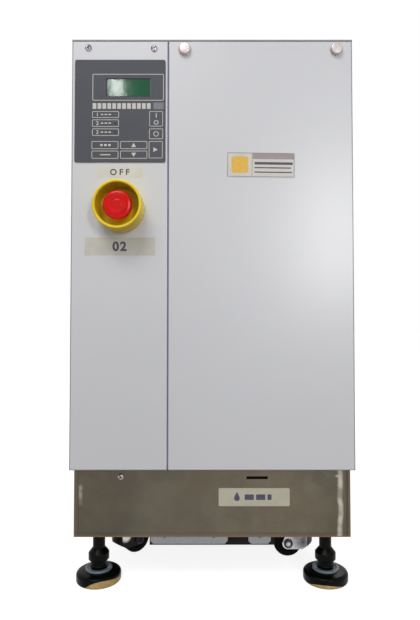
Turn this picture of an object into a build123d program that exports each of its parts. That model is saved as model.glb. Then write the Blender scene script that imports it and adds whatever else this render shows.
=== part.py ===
# Recirculating chiller on levelling feet and casters, front towards -Y, floor at Z = 0, millimetres.
import os
from math import cos, radians, sin

from build123d import *

# Cabinet
CABINET_WIDTH = 380.0
CABINET_DEPTH = 665.0
CABINET_HEIGHT = 580.0
CABINET_BOTTOM = 163.0
SHEET = 1.5
FRONT_PAN_DEPTH = 22.0
SIDE_PAN_DEPTH = 12.0
REAR_PAN_DEPTH = 12.0
TOP_PAN_DEPTH = 14.0
TOP_LIP = 2.4
PANEL_GAP = 1.5
PANEL_EDGE_RADIUS = 1.2
LEFT_PANEL_WIDTH = 130.5

# Louvres pressed out of the side and rear panels
LOUVRE_LENGTH = 90.0
LOUVRE_HEIGHT = 9.0
LOUVRE_RISE = 4.0
LOUVRE_WALL = 1.0
LOUVRE_PITCH = 18.0
LOUVRE_ROWS = 8
LOUVRE_COLUMN_GAP = 30.0
LOUVRE_TOP_DROP = 70.0
SIDE_LOUVRE_REAR_INSET = 60.0

# Stainless base
BASE_BOTTOM = 67.5
BASE_SETBACK = 18.5
BASE_SIDE_INSET = 1.5
BASE_SHEET = 1.5
BASE_COVER_DEPTH = 8.0
BASE_BEVEL = 6.5
BASE_BEVEL_DEPTH = 3.0
BASE_SLOT_LENGTH = 28.8
BASE_SLOT_HEIGHT = 3.8
BASE_SLOT_INSET = 129.0
BASE_SLOT_DROP = 14.7

# Underframe: side rails on the feet and casters, and a cross rail with zinc plates
RAIL_BOTTOM = 71.5
RAIL_HEIGHT = 20.0
RAIL_WIDTH = 62.0
RAIL_WALL = 3.0
RAIL_SIDE_INSET = 11.0
CROSS_SIDE_GAP = 28.0
CROSS_BOTTOM = 53.8
CROSS_SETBACK = 3.0
CROSS_DEPTH = 24.0
CROSS_WALL = 3.0
PLATE_THICKNESS = 2.0
PLATE_CHAMFER = 4.0
PLATE_RISE = 2.0
PLATE_HEIGHT = 26.0
PLATE_HOLE_RADIUS = 3.5
PLATE_HOLE_RISE = 12.0
LONG_PLATE_WIDTH = 105.8
LONG_PLATE_INSET = 1.4
LONG_PLATE_HOLE_SPACING = 67.0
SHORT_PLATE_WIDTH = 30.6
SHORT_PLATE_INSET = 5.7

# Levelling feet
FOOT_SIDE_INSET = 31.5
FOOT_SETBACK = 44.0
STUD_RADIUS = 8.0
STUD_HOLE_CLEARANCE = 0.3
STUD_ABOVE_RAIL = 12.0
STUD_NUT_SIZE = 24.0
STUD_NUT_HEIGHT = 8.0
PAD_RADIUS = 31.0
PAD_FACE_RADIUS = 28.5
PAD_EDGE_LOW = 2.5
PAD_EDGE_HIGH = 10.0
PAD_SHOULDER = 13.5
PAD_HEIGHT = 16.0
PAD_STEP_RADIUS = 18.2
PAD_STEP_HEIGHT = 2.5
NECK_RADIUS = 11.2
NECK_TOP = 29.0
SOCKET_RADIUS = 14.3
SOCKET_SHOULDER = 38.7
SOCKET_TOP = 45.3

# Casters
WHEEL_RADIUS = 20.0
WHEEL_WIDTH = 17.0
WHEEL_EDGE_CHAMFER = 2.4
HUB_WIDTH = 19.0
HUB_RADIUS = 8.0
WHEEL_DISH_RADIUS = 13.5
WHEEL_DISH_DEPTH = 2.0
WHEEL_CLEARANCE = 4.0
CASTER_TRAIL = 21.5
CASTER_SIDE_INSET = 52.5
CASTER_SETBACK = 120.0
AXLE_RADIUS = 3.0
AXLE_RUNNING_CLEARANCE = 0.05
AXLE_HEAD_RADIUS = 5.2
AXLE_HEAD_HEIGHT = 3.5
FORK_WALL = 2.5
FORK_SIDE_GAP = 1.0
FORK_END_RADIUS = 8.8
FORK_BACK = 17.0
FORK_BACK_LOW = 10.0
FORK_FRONT = 14.0
FORK_CROWN_WALL = 3.0
FORK_CROWN_RADIUS = 17.0
RACE_HEIGHT = 5.0
RACE_RADIUS = 14.0
RACE_GAP = 0.4
KINGPIN_RADIUS = 4.0
KINGPIN_RUNNING_CLEARANCE = 0.05
KINGPIN_HEAD_RADIUS = 7.0
KINGPIN_HEAD_HEIGHT = 2.5
CASTER_PLATE_LENGTH = 58.0
CASTER_PLATE_WIDTH = 44.0
CASTER_PLATE_THICKNESS = 3.0
CASTER_PLATE_CORNER = 5.0
TRAIL_DIRECTIONS = {"front_left": 38.0, "front_right": 180.0, "rear_left": 0.0, "rear_right": 180.0}

# Control panel
OVERLAY_WIDTH = 122.6
OVERLAY_HEIGHT = 140.0
OVERLAY_THICKNESS = 1.2
OVERLAY_RADIUS = 2.5
OVERLAY_INSET = 4.3
OVERLAY_DROP = 28.3
WINDOW_WIDTH = 58.3
WINDOW_HEIGHT = 23.4
WINDOW_INSET = 43.4
WINDOW_DROP = 26.4
WINDOW_BEVEL = 0.8
WINDOW_THICKNESS = 0.4

# Knurled screws that hold the service panel
THUMBSCREW_RADIUS = 8.2
THUMBSCREW_HEIGHT = 9.0
THUMBSCREW_CHAMFER = 2.0
THUMBSCREW_GROOVES = 18
THUMBSCREW_GROOVE_DEPTH = 0.9
THUMBSCREW_DROP = 13.7
THUMBSCREW_INSET = 21.6
THUMBSCREW_SHANK_RADIUS = 3.0
THUMBSCREW_SHANK_LENGTH = 10.0
THUMBSCREW_SHANK_CLEARANCE = 0.3

# Emergency-off button and its guard
BUTTON_INSET = 67.5
BUTTON_DROP = 232.2
GUARD_OUTER_RADIUS = 32.0
GUARD_INNER_RADIUS = 28.0
GUARD_HEIGHT = 35.0
GUARD_FLOOR = 3.0
GUARD_RIM_CHAMFER = 0.9
COLLAR_RADIUS = 13.0
COLLAR_HEIGHT = 8.0
COLLAR_CHAMFER = 1.5
HEAD_RADIUS = 19.0
HEAD_THICKNESS = 11.0
HEAD_FRONT = 33.0
HEAD_EDGE_RADIUS = 3.5
HEAD_DISC_RADIUS = 6.8
HEAD_DISC_RISE = 0.6
HEAD_GROOVE_RADIUS = 13.5
HEAD_GROOVE_WIDTH = 1.0
HEAD_GROOVE_DEPTH = 0.6
HEAD_BORE_DEPTH = 6.0
HEAD_BORE_END_GAP = 0.3
STEM_RADIUS = 6.0
STEM_RUNNING_CLEARANCE = 0.05
STEM_BEHIND_FACE = 12.0
BUTTON_PANEL_HOLE_RADIUS = 11.0

# Ports and connectors on the rear
PORT_PLATE_HEIGHT = 190.0
PORT_REACH = 28.0
PORT_BORE_DEPTH = 22.0
PORT_FLANGE_THICKNESS = 4.0
PORT_FLANGE_OVER = 5.0
CIRCULATION_PORT_RADIUS = 12.06
CIRCULATION_HEX_SIZE = 36.0
CIRCULATION_PORT_INSET = 80.0
CIRCULATION_PORT_RISE = 55.0
CIRCULATION_PORT_SPACING = 65.0
FACILITY_PORT_RADIUS = 9.3
FACILITY_HEX_SIZE = 27.0
FACILITY_PORT_INSET = 190.0
FACILITY_PORT_RISE = 55.0
FACILITY_PORT_SPACING = 55.0
DRAIN_HEX_SIZE = 19.0
DRAIN_INSET = 40.0
DRAIN_DROP = 45.0
DRAIN_REACH = 16.0
POWER_INSET = 50.0
POWER_RISE = 60.0
POWER_RADIUS = 18.0
POWER_REACH = 18.0
POWER_SOCKET_RADIUS = 14.5
POWER_SOCKET_DEPTH = 11.0
POWER_FLANGE = 48.0
POWER_FLANGE_THICKNESS = 3.0
POWER_FLANGE_CORNER = 5.0
SIGNAL_INSET = 90.0
SIGNAL_RISE = 140.0
SIGNAL_WIDTH = 52.0
SIGNAL_HEIGHT = 13.0
SIGNAL_REACH = 7.0
SIGNAL_SPACING = 60.0
SIGNAL_CORNER = 1.0
SIGNAL_SHELL_LENGTH = 27.0
SIGNAL_SHELL_HEIGHT = 10.0
SIGNAL_SHELL_ANGLE = 80.0
SIGNAL_FLANGE_THICKNESS = 1.5

# Filler cap of the tank on the top cover
FILLER_SIDE_INSET = 95.0
FILLER_REAR_INSET = 110.0
FILLER_RADIUS = 30.0
FILLER_HEIGHT = 18.0
FILLER_GROOVES = 16
FILLER_GROOVE_DEPTH = 2.2
FILLER_TOP_CHAMFER = 2.0
FILLER_COLLAR_RADIUS = 36.0
FILLER_COLLAR_HEIGHT = 3.0

# Places that follow from the sizes above
HALF_WIDTH = CABINET_WIDTH / 2
FRONT_Y = (GUARD_HEIGHT - CABINET_DEPTH - PORT_REACH) / 2
REAR_Y = FRONT_Y + CABINET_DEPTH
CABINET_TOP = CABINET_BOTTOM + CABINET_HEIGHT
CORE_FRONT_Y = FRONT_Y + FRONT_PAN_DEPTH
CORE_REAR_Y = REAR_Y - REAR_PAN_DEPTH
CORE_TOP = CABINET_TOP - TOP_PAN_DEPTH
FRONT_PANEL_TOP = CABINET_TOP - TOP_LIP
PANEL_SPLIT_X = -HALF_WIDTH + LEFT_PANEL_WIDTH
BASE_HALF_WIDTH = HALF_WIDTH - BASE_SIDE_INSET
PAN_HALF_WIDTH = BASE_HALF_WIDTH - BASE_SHEET
BASE_FRONT_Y = FRONT_Y + BASE_SETBACK
BASE_REAR_Y = REAR_Y - BASE_SETBACK
PAN_FRONT_Y = BASE_FRONT_Y + BASE_COVER_DEPTH
PAN_REAR_Y = BASE_REAR_Y - BASE_SHEET
RAIL_TOP = RAIL_BOTTOM + RAIL_HEIGHT
RAIL_OUTER_X = PAN_HALF_WIDTH - RAIL_SIDE_INSET
RAIL_INNER_X = RAIL_OUTER_X - RAIL_WIDTH
CROSS_HALF_WIDTH = RAIL_INNER_X - CROSS_SIDE_GAP
FOOT_X = HALF_WIDTH - FOOT_SIDE_INSET
CASTER_X = HALF_WIDTH - CASTER_SIDE_INSET
FEET_Y = {"front": FRONT_Y + FOOT_SETBACK, "rear": REAR_Y - FOOT_SETBACK}
CASTERS_Y = {"front": FRONT_Y + CASTER_SETBACK, "rear": REAR_Y - CASTER_SETBACK}
AXLE_Z = WHEEL_CLEARANCE + WHEEL_RADIUS
CASTER_PLATE_BOTTOM = RAIL_BOTTOM - CASTER_PLATE_THICKNESS
CROWN_TOP = CASTER_PLATE_BOTTOM - RACE_HEIGHT
FORK_HALF_GAP = HUB_WIDTH / 2 + FORK_SIDE_GAP
FORK_HALF_WIDTH = FORK_HALF_GAP + FORK_WALL
SWIVEL_BORE_RADIUS = KINGPIN_RADIUS + KINGPIN_RUNNING_CLEARANCE
BUTTON_X = -HALF_WIDTH + BUTTON_INSET
BUTTON_Z = CABINET_TOP - BUTTON_DROP
HEAD_BACK = HEAD_FRONT - HEAD_THICKNESS
PORT_PLATE_TOP = CABINET_BOTTOM + PORT_PLATE_HEIGHT

os.makedirs("parts", exist_ok=True)


def save(piece, name):
    piece.label = name
    export_step(piece, f"parts/{name}.step")


def front_plane(x, y, z):
    # Sketch plane that faces the viewer in front: x to the right, y up
    return Plane(origin=(x, y, z), x_dir=(1, 0, 0), z_dir=(0, -1, 0))


def rear_plane(x, y, z):
    # Sketch plane that faces backwards
    return Plane(origin=(x, y, z), x_dir=(-1, 0, 0), z_dir=(0, 1, 0))


def block(low, high, mode=Mode.ADD):
    # A block between two corners, inside the part being built
    centre = tuple((a + b) / 2 for a, b in zip(low, high))
    with Locations(centre):
        Box(*[b - a for a, b in zip(low, high)], mode=mode)


# Closed housing that the panels hang on
with BuildPart() as machine_housing:
    block(
        (-HALF_WIDTH + SIDE_PAN_DEPTH, CORE_FRONT_Y, CABINET_BOTTOM),
        (HALF_WIDTH - SIDE_PAN_DEPTH, CORE_REAR_Y, CORE_TOP),
    )
save(machine_housing.part, "machine_housing")


def folded_panel(plane, width, height, depth, holes=()):
    # Sheet with a return folded back on all four edges; the plane is on its visible face
    with BuildPart() as panel:
        with BuildSketch(plane):
            Rectangle(width, height)
        extrude(amount=-depth)
        rim = panel.edges().filter_by(lambda edge: abs(plane.to_local_coords(edge.center()).Z) < 0.01)
        fillet(rim, PANEL_EDGE_RADIUS)
        with BuildSketch(plane.offset(-SHEET)):
            Rectangle(width - 2 * SHEET, height - 2 * SHEET)
        extrude(amount=-(depth - SHEET), mode=Mode.SUBTRACT)
        for x, y, radius in holes:
            with BuildSketch(plane):
                with Locations((x, y)):
                    Circle(radius)
            extrude(amount=-SHEET, mode=Mode.SUBTRACT)
    return panel.part


# Front panels, the narrow one with the controls and the wide service panel
front_height = FRONT_PANEL_TOP - CABINET_BOTTOM
front_centre_z = (FRONT_PANEL_TOP + CABINET_BOTTOM) / 2
left_width = LEFT_PANEL_WIDTH - PANEL_GAP / 2
left_centre_x = -HALF_WIDTH + left_width / 2
front_left_panel = folded_panel(
    front_plane(left_centre_x, FRONT_Y, front_centre_z),
    left_width,
    front_height,
    FRONT_PAN_DEPTH,
    [(BUTTON_X - left_centre_x, BUTTON_Z - front_centre_z, BUTTON_PANEL_HOLE_RADIUS)],
)
save(front_left_panel, "front_left_panel")

right_width = CABINET_WIDTH - LEFT_PANEL_WIDTH - PANEL_GAP / 2
right_centre_x = HALF_WIDTH - right_width / 2
thumbscrew_x = (
    PANEL_SPLIT_X + PANEL_GAP / 2 + THUMBSCREW_INSET,
    HALF_WIDTH - THUMBSCREW_INSET,
)
thumbscrew_z = CABINET_TOP - THUMBSCREW_DROP
shank_hole_radius = THUMBSCREW_SHANK_RADIUS + THUMBSCREW_SHANK_CLEARANCE
front_right_panel = folded_panel(
    front_plane(right_centre_x, FRONT_Y, front_centre_z),
    right_width,
    front_height,
    FRONT_PAN_DEPTH,
    [(x - right_centre_x, thumbscrew_z - front_centre_z, shank_hole_radius) for x in thumbscrew_x],
)
save(front_right_panel, "front_right_panel")


def louvred(panel, plane, column_xs, top_y):
    # Presses rows of hoods, open at the bottom, out of a panel; the plane is on its visible face
    slope = LOUVRE_HEIGHT / LOUVRE_RISE
    inner_rise = LOUVRE_RISE - LOUVRE_WALL
    hood = [(0, 0), (LOUVRE_RISE, 0), (0, -LOUVRE_HEIGHT)]
    hollow = [(-SHEET, 0), (inner_rise, 0), (-SHEET, -slope * (inner_rise + SHEET))]
    rows = [(0, row * LOUVRE_PITCH) for row in range(LOUVRE_ROWS)]
    with BuildPart() as pressed:
        add(panel)
        for profile, end_wall, mode in ((hood, 0, Mode.ADD), (hollow, LOUVRE_WALL, Mode.SUBTRACT)):
            for column_x in column_xs:
                start = plane.from_local_coords(Vector(column_x - LOUVRE_LENGTH / 2 + end_wall, top_y, 0))
                # Section across the hoods: x outwards, y downwards
                with BuildSketch(Plane(origin=start, x_dir=plane.z_dir, z_dir=plane.x_dir)):
                    with Locations(*rows):
                        Polygon(*profile, align=None)
                extrude(amount=LOUVRE_LENGTH - 2 * end_wall, mode=mode)
    return pressed.part


# Side panels
side_height = CABINET_TOP - TOP_PAN_DEPTH - CABINET_BOTTOM
side_length = REAR_Y - CORE_FRONT_Y
side_centre_y = (REAR_Y + CORE_FRONT_Y) / 2
side_centre_z = CABINET_BOTTOM + side_height / 2
louvre_step = LOUVRE_LENGTH + LOUVRE_COLUMN_GAP
side_louvre_reach = side_length / 2 - SIDE_LOUVRE_REAR_INSET - LOUVRE_LENGTH / 2
for name, side in (("left_side_panel", -1), ("right_side_panel", 1)):
    outer = Plane(
        origin=(side * HALF_WIDTH, side_centre_y, side_centre_z),
        x_dir=(0, side, 0),
        z_dir=(side, 0, 0),
    )
    plain = folded_panel(outer, side_length, side_height, SIDE_PAN_DEPTH)
    columns = [side_louvre_reach, side_louvre_reach - louvre_step]
    save(louvred(plain, outer, columns, side_height / 2 - LOUVRE_TOP_DROP), name)

# Rear: louvred panel above, port plate below
rear_width = CABINET_WIDTH - 2 * SIDE_PAN_DEPTH
rear_low = PORT_PLATE_TOP + PANEL_GAP
rear_plane_face = rear_plane(0, REAR_Y, (rear_low + CORE_TOP) / 2)
rear_height = CORE_TOP - rear_low
plain = folded_panel(rear_plane_face, rear_width, rear_height, REAR_PAN_DEPTH)
save(
    louvred(plain, rear_plane_face, (-louvre_step / 2, louvre_step / 2), rear_height / 2 - LOUVRE_TOP_DROP),
    "rear_panel",
)
port_plane = rear_plane(0, REAR_Y, CABINET_BOTTOM + PORT_PLATE_HEIGHT / 2)
save(folded_panel(port_plane, rear_width, PORT_PLATE_HEIGHT, REAR_PAN_DEPTH), "port_plate")

# Top cover with a thin lip over the front panels
with BuildPart() as top_cover:
    block((-HALF_WIDTH, CORE_FRONT_Y, CORE_TOP), (HALF_WIDTH, REAR_Y, CABINET_TOP))
    block((-HALF_WIDTH, FRONT_Y, FRONT_PANEL_TOP), (HALF_WIDTH, CORE_FRONT_Y, CABINET_TOP))
    block(
        (-HALF_WIDTH + SHEET, CORE_FRONT_Y + SHEET, CORE_TOP),
        (HALF_WIDTH - SHEET, REAR_Y - SHEET, CABINET_TOP - TOP_LIP),
        mode=Mode.SUBTRACT,
    )
save(top_cover.part, "top_cover")

# Stainless cover across the front of the base, with a bevelled rim and a slot
base_height = CABINET_BOTTOM - BASE_BOTTOM


def base_cover_form(inset):
    # Outer form of the cover, or the same form drawn in by the sheet for its hollow
    width = 2 * (BASE_HALF_WIDTH - inset)
    height = base_height - inset
    centre_z = CABINET_BOTTOM - height / 2
    with BuildPart() as form:
        with BuildSketch(front_plane(0, BASE_FRONT_Y + inset, centre_z)):
            Rectangle(width, height)
        extrude(amount=-(BASE_COVER_DEPTH - inset))
        front = form.faces().sort_by(Axis.Y)[0]
        rim = front.edges().sort_by(Axis.Z)[:-1]
        chamfer(rim, BASE_BEVEL, BASE_BEVEL_DEPTH, reference=front)
    return form.part


with BuildPart() as base_front_cover:
    add(base_cover_form(0))
    add(base_cover_form(BASE_SHEET), mode=Mode.SUBTRACT)
    slot_x = HALF_WIDTH - BASE_SLOT_INSET
    with BuildSketch(front_plane(slot_x, BASE_FRONT_Y, CABINET_BOTTOM - BASE_SLOT_DROP)):
        Rectangle(BASE_SLOT_LENGTH, BASE_SLOT_HEIGHT)
    extrude(amount=-BASE_SHEET, mode=Mode.SUBTRACT)
save(base_front_cover.part, "base_front_cover")

# Base pan and its skirts
with BuildPart() as base_pan:
    block((-PAN_HALF_WIDTH, PAN_FRONT_Y, RAIL_TOP), (PAN_HALF_WIDTH, PAN_REAR_Y, CABINET_BOTTOM))
save(base_pan.part, "base_pan")
for name, side in (("base_left_skirt", -1), ("base_right_skirt", 1)):
    with BuildPart() as skirt:
        low_x, high_x = sorted((side * PAN_HALF_WIDTH, side * BASE_HALF_WIDTH))
        block((low_x, PAN_FRONT_Y, BASE_BOTTOM), (high_x, PAN_REAR_Y, CABINET_BOTTOM))
    save(skirt.part, name)
with BuildPart() as base_rear_skirt:
    block((-BASE_HALF_WIDTH, PAN_REAR_Y, BASE_BOTTOM), (BASE_HALF_WIDTH, BASE_REAR_Y, CABINET_BOTTOM))
save(base_rear_skirt.part, "base_rear_skirt")

# Side rails: channels open upwards, closed by the pan, with holes for the feet
stud_hole_radius = STUD_RADIUS + STUD_HOLE_CLEARANCE
for name, side in (("left_rail", -1), ("right_rail", 1)):
    with BuildPart() as rail:
        low_x, high_x = sorted((side * RAIL_INNER_X, side * RAIL_OUTER_X))
        block((low_x, PAN_FRONT_Y, RAIL_BOTTOM), (high_x, PAN_REAR_Y, RAIL_TOP))
        block(
            (low_x + RAIL_WALL, PAN_FRONT_Y, RAIL_BOTTOM + RAIL_WALL),
            (high_x - RAIL_WALL, PAN_REAR_Y, RAIL_TOP),
            mode=Mode.SUBTRACT,
        )
        with BuildSketch(Plane.XY.offset(RAIL_BOTTOM)):
            with Locations(*[(side * FOOT_X, y) for y in FEET_Y.values()]):
                Circle(stud_hole_radius)
        extrude(amount=RAIL_WALL, mode=Mode.SUBTRACT)
    save(rail.part, name)

# Cross rail under the front, and the zinc plates on its face
cross_front_y = PAN_FRONT_Y + CROSS_SETBACK
with BuildPart() as front_cross_rail:
    back_y = cross_front_y + CROSS_DEPTH
    block((-CROSS_HALF_WIDTH, cross_front_y, CROSS_BOTTOM), (CROSS_HALF_WIDTH, back_y, RAIL_TOP))
    block(
        (-CROSS_HALF_WIDTH, cross_front_y + CROSS_WALL, CROSS_BOTTOM + CROSS_WALL),
        (CROSS_HALF_WIDTH, back_y, RAIL_TOP - CROSS_WALL),
        mode=Mode.SUBTRACT,
    )
save(front_cross_rail.part, "front_cross_rail")


def zinc_plate(centre_x, width, hole_xs):
    # Plate on the face of the cross rail, its lower corners cut off
    with BuildPart() as plate:
        with BuildSketch(front_plane(centre_x, cross_front_y, CROSS_BOTTOM + PLATE_RISE)) as outline:
            with Locations((0, PLATE_HEIGHT / 2)):
                Rectangle(width, PLATE_HEIGHT)
            chamfer(outline.vertices().group_by(Axis.Y)[0], PLATE_CHAMFER)
            with Locations(*[(x, PLATE_HOLE_RISE) for x in hole_xs]):
                Circle(PLATE_HOLE_RADIUS, mode=Mode.SUBTRACT)
        extrude(amount=PLATE_THICKNESS)
    return plate.part


hole_offset = LONG_PLATE_HOLE_SPACING / 2
long_x = -CROSS_HALF_WIDTH + LONG_PLATE_INSET + LONG_PLATE_WIDTH / 2
short_x = CROSS_HALF_WIDTH - SHORT_PLATE_INSET - SHORT_PLATE_WIDTH / 2
with BuildPart() as cross_rail_plates:
    add(zinc_plate(long_x, LONG_PLATE_WIDTH, (-hole_offset, hole_offset)))
    add(zinc_plate(short_x, SHORT_PLATE_WIDTH, (0,)))
save(cross_rail_plates.part, "cross_rail_plates")


def levelling_foot(x, y):
    # Pad, swivel socket, stud and lock nut turned as one foot
    step_top = PAD_HEIGHT + PAD_STEP_HEIGHT
    stud_top = RAIL_BOTTOM + STUD_ABOVE_RAIL
    with BuildPart() as foot:
        with BuildSketch(front_plane(x, y, 0)):
            Polygon(
                (0, 0),
                (PAD_FACE_RADIUS, 0),
                (PAD_RADIUS, PAD_EDGE_LOW),
                (PAD_RADIUS, PAD_EDGE_HIGH),
                (PAD_FACE_RADIUS, PAD_SHOULDER),
                (PAD_STEP_RADIUS, PAD_HEIGHT),
                (PAD_STEP_RADIUS, step_top),
                (NECK_RADIUS, step_top),
                (NECK_RADIUS, NECK_TOP),
                (SOCKET_RADIUS, NECK_TOP),
                (SOCKET_RADIUS, SOCKET_SHOULDER),
                (STUD_RADIUS, SOCKET_TOP),
                (STUD_RADIUS, stud_top),
                (0, stud_top),
                align=None,
            )
        revolve(axis=Axis((x, y, 0), (0, 0, 1)))
        with BuildSketch(Plane.XY.offset(RAIL_BOTTOM - STUD_NUT_HEIGHT)):
            with Locations((x, y)):
                RegularPolygon(STUD_NUT_SIZE / 2, 6, major_radius=False)
        extrude(amount=STUD_NUT_HEIGHT)
    return foot.part


for end, foot_y in FEET_Y.items():
    for label, side in (("left", -1), ("right", 1)):
        save(levelling_foot(side * FOOT_X, foot_y), f"{end}_{label}_foot")


def caster_frame(end, label):
    # Local frame of a caster: origin under its swivel axis, x towards the wheel, y along the axle
    side = -1 if label == "left" else 1
    turn = radians(TRAIL_DIRECTIONS[f"{end}_{label}"])
    return Plane(origin=(side * CASTER_X, CASTERS_Y[end], 0), x_dir=(cos(turn), sin(turn), 0))


def caster_plate(frame):
    # Mounting plate with the fixed race and the kingpin under it
    low = frame.offset(CASTER_PLATE_BOTTOM)
    with BuildPart() as plate:
        with BuildSketch(Plane(origin=low.origin)):
            RectangleRounded(CASTER_PLATE_WIDTH, CASTER_PLATE_LENGTH, CASTER_PLATE_CORNER)
        extrude(amount=CASTER_PLATE_THICKNESS)
        with BuildSketch(low):
            Circle(RACE_RADIUS)
        extrude(amount=-(RACE_HEIGHT - RACE_GAP))
        with BuildSketch(low):
            Circle(KINGPIN_RADIUS)
        extrude(amount=-(RACE_HEIGHT + FORK_CROWN_WALL + RACE_GAP))
        with BuildSketch(frame.offset(CROWN_TOP - FORK_CROWN_WALL - RACE_GAP)):
            Circle(KINGPIN_HEAD_RADIUS)
        extrude(amount=-KINGPIN_HEAD_HEIGHT)
    return plate.part


def fork_form(frame, half_width, back, top):
    # Fork as seen from above, straight over the wheel and rounded behind the swivel axis, from axle to top
    end_x = CASTER_TRAIL + FORK_END_RADIUS
    round_x = half_width - back
    low_z = AXLE_Z - FORK_END_RADIUS
    with BuildPart() as form:
        with BuildSketch(frame.offset(low_z)):
            with Locations((round_x, 0)):
                Circle(half_width)
            with Locations(((round_x + end_x) / 2, 0)):
                Rectangle(end_x - round_x, 2 * half_width)
        extrude(amount=top - low_z)
    return form.part


def caster_fork(frame):
    # Pressed fork: a round crown on the swivel axis, cheeks down to the axle and a rounded web behind
    axle_low = AXLE_Z - FORK_END_RADIUS
    crown_low = CROWN_TOP - FORK_CROWN_WALL
    end_x = CASTER_TRAIL + FORK_END_RADIUS
    cheek_plane = Plane(
        origin=frame.from_local_coords(Vector(0, -FORK_HALF_WIDTH, 0)),
        x_dir=frame.x_dir,
        z_dir=-frame.y_dir,
    )
    far_plane = cheek_plane.offset(-2 * FORK_HALF_WIDTH)
    with BuildPart() as fork:
        add(fork_form(frame, FORK_HALF_WIDTH, FORK_BACK, CROWN_TOP))
        with BuildSketch(cheek_plane):
            with BuildLine():
                Polyline(
                    (CASTER_TRAIL, axle_low),
                    (0, axle_low),
                    (-FORK_BACK, axle_low + FORK_BACK_LOW),
                    (-FORK_BACK, CROWN_TOP),
                    (FORK_FRONT, CROWN_TOP),
                    (end_x, AXLE_Z),
                )
                RadiusArc((end_x, AXLE_Z), (CASTER_TRAIL, axle_low), FORK_END_RADIUS)
            make_face()
        extrude(amount=-2 * FORK_HALF_WIDTH, mode=Mode.INTERSECT)
        add(fork_form(frame, FORK_HALF_GAP, FORK_BACK - FORK_WALL, crown_low), mode=Mode.SUBTRACT)
        with BuildSketch(frame.offset(crown_low)):
            Circle(FORK_CROWN_RADIUS)
        extrude(amount=FORK_CROWN_WALL)
        with BuildSketch(frame.offset(crown_low)):
            Circle(SWIVEL_BORE_RADIUS)
        extrude(amount=FORK_CROWN_WALL, mode=Mode.SUBTRACT)
        for face, reach in ((cheek_plane, AXLE_HEAD_HEIGHT), (far_plane, -AXLE_HEAD_HEIGHT)):
            with BuildSketch(face):
                with Locations((CASTER_TRAIL, AXLE_Z)):
                    RegularPolygon(AXLE_HEAD_RADIUS, 6)
            extrude(amount=reach)
        with BuildSketch(cheek_plane):
            with Locations((CASTER_TRAIL, AXLE_Z)):
                Circle(AXLE_RADIUS)
        extrude(amount=-2 * FORK_HALF_WIDTH)
    return fork.part


def caster_wheel(frame):
    # Moulded wheel, dished on both sides round its hub
    centre = frame.from_local_coords(Vector(CASTER_TRAIL, 0, AXLE_Z))
    section = Plane(origin=centre, x_dir=frame.y_dir, z_dir=frame.x_dir)
    bore = AXLE_RADIUS + AXLE_RUNNING_CLEARANCE
    half_dish = WHEEL_WIDTH / 2 - WHEEL_DISH_DEPTH
    with BuildPart() as wheel:
        with BuildSketch(section) as profile:
            with BuildLine():
                Polyline(
                    (-HUB_WIDTH / 2, bore),
                    (-HUB_WIDTH / 2, HUB_RADIUS),
                    (-half_dish, HUB_RADIUS),
                    (-half_dish, WHEEL_DISH_RADIUS),
                    (-WHEEL_WIDTH / 2, WHEEL_DISH_RADIUS),
                    (-WHEEL_WIDTH / 2, WHEEL_RADIUS),
                    (WHEEL_WIDTH / 2, WHEEL_RADIUS),
                    (WHEEL_WIDTH / 2, WHEEL_DISH_RADIUS),
                    (half_dish, WHEEL_DISH_RADIUS),
                    (half_dish, HUB_RADIUS),
                    (HUB_WIDTH / 2, HUB_RADIUS),
                    (HUB_WIDTH / 2, bore),
                    close=True,
                )
            make_face()
            chamfer(profile.vertices().group_by(Axis.Y)[-1], WHEEL_EDGE_CHAMFER)
        revolve(axis=Axis(centre, frame.y_dir))
    return wheel.part


for end in ("front", "rear"):
    for label in ("left", "right"):
        frame = caster_frame(end, label)
        save(caster_plate(frame), f"{end}_{label}_caster_plate")
        save(caster_fork(frame), f"{end}_{label}_caster_fork")
        save(caster_wheel(frame), f"{end}_{label}_caster_wheel")

# Control panel overlay with its display window
overlay_x = -HALF_WIDTH + OVERLAY_INSET + OVERLAY_WIDTH / 2
overlay_top = CABINET_TOP - OVERLAY_DROP
window_x = -HALF_WIDTH + OVERLAY_INSET + WINDOW_INSET + WINDOW_WIDTH / 2
window_z = overlay_top - WINDOW_DROP - WINDOW_HEIGHT / 2
with BuildPart() as control_overlay:
    with BuildSketch(front_plane(overlay_x, FRONT_Y, overlay_top - OVERLAY_HEIGHT / 2)):
        RectangleRounded(OVERLAY_WIDTH, OVERLAY_HEIGHT, OVERLAY_RADIUS)
    extrude(amount=OVERLAY_THICKNESS)
    with BuildSketch(front_plane(window_x, FRONT_Y, window_z)):
        Rectangle(WINDOW_WIDTH, WINDOW_HEIGHT)
    extrude(amount=OVERLAY_THICKNESS, mode=Mode.SUBTRACT)
    front = control_overlay.faces().sort_by(Axis.Y)[0]
    chamfer(front.inner_wires()[0].edges(), WINDOW_BEVEL)
save(control_overlay.part, "control_overlay")
with BuildPart() as display_window:
    with BuildSketch(front_plane(window_x, FRONT_Y, window_z)):
        Rectangle(WINDOW_WIDTH, WINDOW_HEIGHT)
    extrude(amount=WINDOW_THICKNESS)
save(display_window.part, "display_window")


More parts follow.
